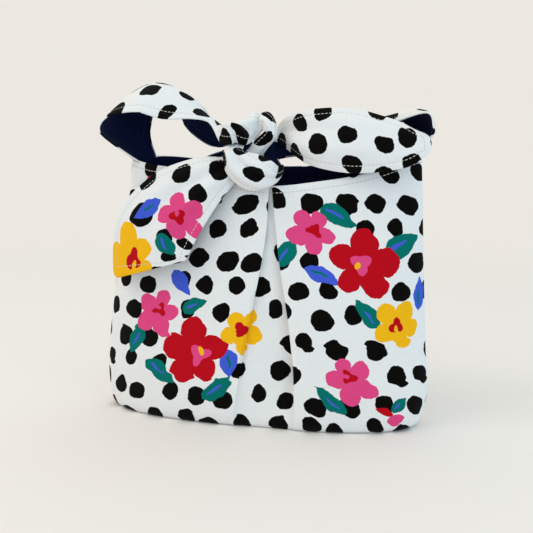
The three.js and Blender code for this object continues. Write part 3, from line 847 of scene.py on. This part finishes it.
# Sections across a tie, from its foot to its end: the middle of the cloth, the width in a straight
# line from edge to edge, the heading and rise of that line in degrees, how far the middle stands
# off it (crown) and along it (slide, a share of its half), and the swell of its first and second half.
SECTION = "x y z width turn lean crown slide first second"
LEFT_TIE = table(
    SECTION,
    # the foot at the rim and the loop
    (-120, 0, 225, 30, 75, 5, 15, 0, 0, 0),
    (-130, 0, 245, 55, 65, 5, 10, 0, 0, 0),
    (-120, 5, 275, 70, 65, 25, 5, 0, 0, 0),
    (-95, 0, 285, 70, 80, 10, 18, 0, 0, 0),
    (-65, 0, 275, 55, 90, -4, 25, 0, 0, 0),
    (-45, 0, 256, 45, 96, -24, 15, 0, 0, 0),
    # the cuff over the knot, with its hem in front
    (-34, -5, 248, 38, 96, -30, 8, -0.2, 0, 0),
    (-26, -24, 246, 30, 90, -2, 10, -0.4, 3, 0),
    (-19, -33, 249, 35, 86, 18, 13, -0.5, 4, 0),
    (-10, -34, 249, 34, 86, 24, 11, -0.6, 4, 2),
    (-3, -26, 247, 28, 84, 62, 3, 0, 0, 2),
    (2, -18, 250, 20, 80, 62, 2, 0, 0, 0),
    # the open arch
    (6, -21, 256, 13, 70, 60, 5, 0, 1, 1),
    (13, -25, 251, 12, 40, 35, 5, 0, 1, 1),
    (14, -26, 242, 10, 20, -10, 4, 0, 1, 1),
    (6, -27, 233, 11, 20, -35, 4, 0, 1, 1),
    # down behind the wrap to the hanging end
    (-1, -28, 225, 11, 10, -45, 4, 0, 0, 0),
    (-10, -30, 220, 15, 0, -55, 5, 0, 0, 0),
    (-20, -36, 214, 24, -15, -60, 5, 0, 0, 0),
    (-37, -43, 205, 42, -15, -60, 5, 0, 0, 0),
    (-65, -44, 185, 65, -15, -45, 5, 0, 0, 0),
    (-85, -44, 160, 75, -12, -20, 5, 0, 0, 0),
    (-90, -43, 130, 75, -12, 15, 5, 0, 0, 0),
)
RIGHT_TIE = table(
    SECTION,
    # the foot at the rim and the strap across the mouth
    (130, 0, 225, 30, -75, -5, 15, 0, 0, 0),
    (135, 0, 238, 42, -65, 0, 5, 0, 0, 0),
    (137, 0, 250, 54, -65, 0, 8, 0, 0, 0),
    (125, 5, 260, 55, -65, 5, 5, 0, 0, 0),
    (100, 10, 255, 42, -65, 15, 10, 0, 0, 0),
    (60, 10, 247, 30, -65, 15, 18, 0, 0, 0),
    (25, 15, 240, 20, -70, 35, 12, 0, 0, 0),
    # behind the knot and round its left side
    (-5, 21, 229, 18, -90, 85, 3, 0, 0, 0),
    (-50, 11, 221, 8, -80, 88, 1, 0, 0, 0),
    (-36, -8, 219, 11, -20, 75, 1, 0, 0, 0),
    # the wrap down across the front
    (-16, -23, 234, 10, 0, 8, 2, 0, 0, 0),
    (-15, -38, 230, 15, 0, 10, 3, 0, 2, 0),
    (-11, -44, 226, 22, 0, 18, 6, 0, 3, 1),
    (-6, -45, 219, 29, 2, 28, 6, 0, 3, 2),
    (3, -45, 212, 31, 4, 38, 6, 0, 3, 3),
    (12, -42, 207, 28, 8, 48, 5, 0, 2, 3),
    (19, -35, 206, 20, 10, 57, 4, 0, 1, 1),
    # back over the rim and twisted up behind the arch
    (22, -24, 210, 14, 0, 62, 2, 0, 0, 0),
    (14, -10, 214, 12, 0, 20, 1, 0, 0, 0),
    (8, -2, 223, 11, 0, 0, 1, 0, 0, 0),
    (7, 1, 232, 10, 45, 8, 0, 0, 0, 0),
    (9, 3, 240, 11, 75, 30, 1, 0, 0, 0),
    (15, 0, 244, 17, 95, 70, 1, 0, 0, 0),
    # the free end
    (25, -11, 243, 28, 100, 80, 2, 0, 0, 0),
    (45, -26, 240, 44, 105, 80, 5, 0, 2, -2),
    (80, -32, 238, 50, 108, 78, 8, 0, 0, 0),
    (115, -30, 235, 38, 125, 73, 5, 0, 0, 0),
    (130, -28, 234, 24, 125, 71, 3, 0, 0, 0),
    (140, -25, 235, 10, 120, 70, 0, 0, 0, 0),
)
# Folds along a tie, from one section to another, v from -1 at its first edge to 1 at its second
FOLD = "start end v to_v width lift"
LEFT_FOLDS = table(
    FOLD,
    (1.5, 5.5, 0.35, 0.2, 7, 1.0),
    (2.0, 5.0, -0.45, -0.3, 6, -0.8),
    (7.2, 10.2, -0.2, -0.75, 2.6, 1.2),
    (8.0, 10.4, 0.25, -0.35, 2.2, -1.3),
    (17.5, 21.5, -0.5, -0.55, 5, 1.5),
    (17.5, 21.8, -0.1, -0.2, 5, -1.9),
    (17.5, 21.5, 0.35, 0.25, 5, 1.6),
    (18.2, 22.4, 0.72, 0.66, 6, -1.2),
)
RIGHT_FOLDS = table(
    FOLD,
    (2.5, 6.0, 0.0, 0.0, 5, -0.8),
    (11.4, 16.4, 0.0, 0.2, 2.4, -1.5),
    (22.4, 25.2, 0.15, 0.3, 5, -2.0),
    (22.6, 26.0, -0.4, -0.3, 6, 1.3),
    (23.0, 27.0, 0.65, 0.5, 5, 0.8),
)

SECTION_STEPS = 12
FOOT_LIFT = -0.8
FOOT_LAP = {"front": 0.42, "back": 0.52}
PLY_LIFT = 0.55  # from the middle of a tie to the middle of one ply
TIE_STITCH = 5.0
NEAR_EDGE = np.array([0, 0.4, 0.9, 1.6, 2.6, 3.6, 4.4, TIE_STITCH, 5.6, 6.5, 8])
STITCH_COLUMN = int(np.argmax(NEAR_EDGE == TIE_STITCH))
THREAD_LIFT = 0.02  # from the cloth up to the middle of the thread
FULL_WIDTH = 24  # a tie narrower than this is stitched nearer its edges
SEAM_PRESS, SEAM_WIDTH = 0.28, 1.3  # how thin a tie is at its edges
GROOVE, GROOVE_WIDTH = 0.34, 0.8  # and how deep its stitching lies
EDGE_ROLL, EDGE_TURNS, EDGE_STEP = 0.5, (35, 70, 105, 140), 0.4
FOLD_FADE = 0.25  # share of its length over which a fold fades at either end


def tie_rows(rows):
    """First edge, middle and second edge of every section, and the swell of its two halves."""
    middle = np.stack([rows["x"], rows["y"], rows["z"]], axis=-1)
    turn, lean = np.radians(rows["turn"]), np.radians(rows["lean"])
    across = np.stack([np.cos(lean) * np.cos(turn), np.cos(lean) * np.sin(turn), np.sin(lean)], axis=-1)
    way = np.concatenate([middle[1:], middle[-1:]]) - np.concatenate([middle[:1], middle[:-1]])
    out = unit(np.cross(way, across))
    half = across * rows["width"][:, None] / 2
    centre = middle - half * rows["slide"][:, None] - out * rows["crown"][:, None]
    swell = [out * rows[name][:, None] for name in ("first", "second")]
    return np.stack([centre - half, middle, centre + half, *swell], axis=1)


def section_point(section, v):
    """Point of one section at v, from -1 at its first edge to 1 at its second."""
    v = np.asarray(v)[..., None]
    swell = np.where(v < 0, section[3], section[4]) * np.sin(math.pi * v) ** 2
    return (v * v - v) / 2 * section[0] + (1 - v * v) * section[1] + (v * v + v) / 2 * section[2] + swell


def foot_point(sign, v):
    """Where the foot of a tie is sewn in, along the rim round the side seam."""
    inset = LINING_INSET / 2
    plan = at_height(BODY, SIDE_HEIGHT)
    foot = []
    for share in v:
        side = "front" if share * sign > 0 else "back"
        across = sign * math.cos(share * FOOT_LAP[side])
        x = across * (plan["left" if across < 0 else "right"] - inset * SIDE_SHARE)
        point = body_point(side, SIDE_HEIGHT, np.array(x), inset)
        point[1] *= abs(share) > 1e-6
        point[2] = read(RIM, "across", across)[side] + FOOT_LIFT
        foot.append(point)
    return np.array(foot)


def tie_sections(rows):
    """Sections all along a tie, on smooth curves through the rows, and the row each is at."""
    last = len(rows) - 1
    at = np.linspace(0, last, last * SECTION_STEPS + 1)
    k = np.minimum(at.astype(int), last - 1)
    t = (at - k)[:, None, None]
    a, b, c, d = rows[np.maximum(k - 1, 0)], rows[k], rows[k + 1], rows[np.minimum(k + 2, last)]
    return curved(t, b, c, (c - a) / 2, (d - b) / 2), at


def folded(grid, at, v, wide, folds):
    """Adds a tie's folds to its middle surface."""
    lift = np.zeros(v.shape)
    for start, end, first, last, width, height in zip(*folds.values()):
        share = (at - start) / (end - start)
        ends = smooth(share / FOLD_FADE) * smooth((1 - share) / FOLD_FADE)
        middle = first + (last - first) * np.clip(share, 0, 1)
        apart = (v - middle[:, None]) * wide[:, None] / 2
        lift += height * hump(apart, width) * ends[:, None]
    return grid + normals_of(grid) * lift[..., None]


def tie_surface(rows, folds, sign, corner):
    """Grid of a tie's middle surface, its distance from the nearer edge and its flat cloth."""
    sections, at = tie_sections(rows)
    middle = sections[:, 1]
    length = np.concatenate([[0], np.cumsum(np.linalg.norm(np.diff(middle, axis=0), axis=1))])
    outline = np.array([section_point(section, np.linspace(-1, 1, 41)) for section in sections])
    width = along(outline, 1)[:, -1]
    inner = np.linspace(0, 1, 31)[1:-1]
    grid, edge, flat, shares = [], [], [], []
    to_end = length[-1] - length
    for section, wide, along_tie, left in zip(sections, width, length, to_end):
        rounding = corner - math.sqrt(max(corner**2 - max(corner - left, 0) ** 2, 0)) if corner else 0
        usable = wide - 2 * rounding
        squeeze = min(1, usable / FULL_WIDTH)
        d = NEAR_EDGE * squeeze
        across = np.concatenate([d, d[-1] + (usable - 2 * d[-1]) * inner, usable - d[::-1]])
        v = np.clip(2 * (across + rounding) / wide - 1, -1, 1)
        points = section_point(section, v)
        k = len(grid)
        if k < SECTION_STEPS:
            hold = 1 - float(smooth(k / SECTION_STEPS))
            points = points + (foot_point(sign, v) - section_point(rows[0], v)) * hold
        grid.append(points)
        shares.append(v)
        edge.append(np.minimum(across, usable - across) / squeeze)
        flat.append(np.stack([across - usable / 2, 0 * across + along_tie], axis=-1))
    grid = folded(np.array(grid), at, np.array(shares), width, folds)
    return grid, np.array(edge), np.array(flat), to_end


def pressed(edge, to_end):
    """Extra height of a ply: full between the seams, pressed down at the seam and the stitching."""
    near = np.minimum(edge, to_end[:, None])
    return SEAM_PRESS * (1 - np.exp(-near / SEAM_WIDTH)) - GROOVE * hump(near - TIE_STITCH, GROOVE_WIDTH)


def tie_plies(name, rows, folds, sign, corner, origin):
    """Both plies of a tie: the print wraps round the seam and the navy backs it."""
    grid, edge, flat, to_end = tie_surface(rows, folds, sign, corner)
    normal = normals_of(grid)
    height = PLY_LIFT + pressed(edge, to_end)
    out_first = unit(grid[:, 0] - grid[:, 1])
    out_last = unit(grid[:, -1] - grid[:, -2])
    turns = np.radians(EDGE_TURNS)

    def rolled(k, out, order):
        strips = []
        for turn in turns[::order]:
            rise = normal[:, k] * PLY_LIFT * math.cos(turn)
            strips.append(grid[:, k] + out * EDGE_ROLL * math.sin(turn) + rise)
        return np.stack(strips, axis=1)

    face = grid + normal * height[..., None]
    face = np.concatenate([rolled(0, out_first, -1), face, rolled(-1, out_last, 1)], axis=1)
    lip = np.stack([EDGE_ROLL * np.sin(turns), EDGE_ROLL * (1 - np.cos(turns))], axis=-1)
    past = EDGE_STEP * np.arange(1, len(EDGE_TURNS) + 1)
    first = np.stack([flat[:, 0] - [step, 0] for step in past[::-1]], axis=1)
    last = np.stack([flat[:, -1] + [step, 0] for step in past], axis=1)
    uv = np.concatenate([first, flat, last], axis=1)
    end_ahead = unit(face[-1] - face[-2])
    end_up = np.pad(normal[-1], ((len(turns), len(turns)), (0, 0)), mode="edge")
    for step, (out, down) in zip(past, lip):
        face = np.concatenate([face, (face[len(grid) - 1] + end_ahead * out - end_up * down * 2)[None]])
        uv = np.concatenate([uv, (uv[len(grid) - 1] + [0, step])[None]])
    printed = new_sheet(name + "_print", face, uv + np.array(origin), tie_print)
    back = slice(1, -1)
    under = (grid - normal * height[..., None])[:-1, back]
    backing = new_sheet(name + "_backing", under[:, ::-1], flat[:-1, back][:, ::-1], navy_cotton)
    return printed, backing, grid, normal, height, to_end


def round_the_edge(grid, normal, height, to_end, face):
    """Points and facing of the topstitching up one edge of a tie, across its end and back."""
    stop = int(np.argmin(np.abs(to_end - TIE_STITCH)))
    begin = SECTION_STEPS // 2
    one, other = STITCH_COLUMN, grid.shape[1] - 1 - STITCH_COLUMN
    route = [(k, one) for k in range(begin, stop)]
    route += [(stop, j) for j in range(one, other + 1)]
    route += [(k, other) for k in range(stop - 1, begin - 1, -1)]
    k, j = np.array(route).T
    ups = normal[k, j] * face
    return grid[k, j] + ups * (height[k, j] + CLOTH / 2 + THREAD_LIFT)[:, None], ups


TIES = [
    # side, sections, folds, sign of x at the foot, roundness of the corners, place in the print
    ("left", LEFT_TIE, LEFT_FOLDS, -1, 5, (80, 290)),
    ("right", RIGHT_TIE, RIGHT_FOLDS, 1, 4, (-70, 290)),
]
ties = {}
for side, rows, folds, sign, corner, origin in TIES:
    printed, backing, *shape = tie_plies(side + "_tie", tie_rows(rows), folds, sign, corner, origin)
    ties[side] = printed, backing, shape
    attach(printed, "root")
    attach(backing, "root")
    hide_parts("tie_" + side + "_print")
    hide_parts("tie_" + side + "_lining")

# ---- topstitching
# One row of machine stitching follows the rim and the edges of the ties, 5 mm in: white thread on the
# printed side, greyed with painted shade of its stitch holes, and navy on the lining. Each stitch is a
# short bead pressed into the cloth.

# Painted shade: the white thread is greyed to stand for the shadow in its stitch holes.
THREAD_WHITE_WITH_PAINTED_SHADE = ink(206, 203, 192)
THREAD_NAVY = ink(34, 42, 84)
STITCH_PITCH = 3.2
STITCH_LENGTH = 2.5
STITCH_WIDTH = 0.7
BEAD_SEGMENTS, BEAD_RINGS = 8, 6


def thread(name, colour):
    material, tree, output = new_material(name)
    surface = fill(tree, tree.nodes.new("ShaderNodeBsdfPrincipled"), {
        "Base Color": colour, "Roughness": 0.7, "Specular IOR Level": 0.2,
    })
    tree.links.new(surface, output.inputs["Surface"])
    return material


white_thread_with_painted_shade = thread("white_thread_with_painted_shade", THREAD_WHITE_WITH_PAINTED_SHADE)
navy_thread = thread("navy_thread", THREAD_NAVY)

stitching, given, wanted = new_group(
    "stitching",
    [("Path", "Geometry"), ("Pitch", "Float"), ("Size", "Vector"), ("Thread", "Material")],
    [("Stitches", "Geometry")],
    "GeometryNodeTree",
)
sockets = {item.name: item.identifier for item in stitching.interface.items_tree}
curve = wire(stitching, "GeometryNodeMeshToCurve", given["Path"])
resample = stitching.nodes.new("GeometryNodeResampleCurve")
resample.mode = "LENGTH"
spaced = fill(stitching, resample, {"Curve": curve, "Length": given["Pitch"]})
facing = wire(stitching, "GeometryNodeInputNamedAttribute", "facing", data_type="FLOAT_VECTOR")
lie = stitching.nodes.new("FunctionNodeAlignRotationToVector")
lie.axis = "X"
lying = fill(stitching, lie, {"Vector": wire(stitching, "GeometryNodeInputTangent")})
roll = stitching.nodes.new("FunctionNodeAlignRotationToVector")
roll.axis = "Z"
roll.pivot_axis = "X"
rolled = fill(stitching, roll, {"Rotation": lying, "Vector": facing})
bead = wire(stitching, "GeometryNodeMeshUVSphere", BEAD_SEGMENTS, BEAD_RINGS, 0.5)
placed = fill(stitching, stitching.nodes.new("GeometryNodeInstanceOnPoints"), {
    "Points": spaced, "Instance": bead, "Rotation": rolled, "Scale": given["Size"],
})
real = wire(stitching, "GeometryNodeRealizeInstances", placed)
threaded = fill(stitching, stitching.nodes.new("GeometryNodeSetMaterial"), {
    "Geometry": real, "Material": given["Thread"],
})
stitching.links.new(threaded, wanted["Stitches"])


def stitches(name, path, ups, material, slot):
    """A row of stitches along a path of millimetre points, facing ups."""
    mesh = bpy.data.meshes.new(name + "_path")
    mesh.from_pydata((path * MM).tolist(), [(k, k + 1) for k in range(len(path) - 1)], [])
    facings = mesh.attributes.new("facing", "FLOAT_VECTOR", "POINT")
    facings.data.foreach_set("vector", ups.astype(np.float32).ravel())
    row = new_object(name, mesh)
    sewing = row.modifiers.new("stitching", "NODES")
    sewing.node_group = stitching
    sewing[sockets["Pitch"]] = STITCH_PITCH * MM
    sewing[sockets["Size"]] = (STITCH_LENGTH * MM, STITCH_WIDTH * MM, STITCH_WIDTH * 0.5 * MM)
    sewing[sockets["Thread"]] = material
    baked = bpy.data.meshes.new_from_object(row.evaluated_get(bpy.context.evaluated_depsgraph_get()))
    row.modifiers.remove(sewing)
    row.data = baked
    bpy.data.meshes.remove(mesh)
    baked.polygons.foreach_set("use_smooth", [True] * len(baked.polygons))
    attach(row, "root")
    return row


front_row = stitches("front_rim_stitches", *stitch_row(front_grid), white_thread_with_painted_shade, "printed_cotton")
back_row = stitches("back_rim_stitches", *stitch_row(back_grid), white_thread_with_painted_shade, "printed_cotton")
for side, (printed, backing, shape) in ties.items():
    outer = stitches(side + "_tie_stitches", *round_the_edge(*shape, 1), white_thread_with_painted_shade, "printed_cotton")
    inner = stitches(side + "_tie_back_stitches", *round_the_edge(*shape, -1), navy_thread, "navy_cotton")
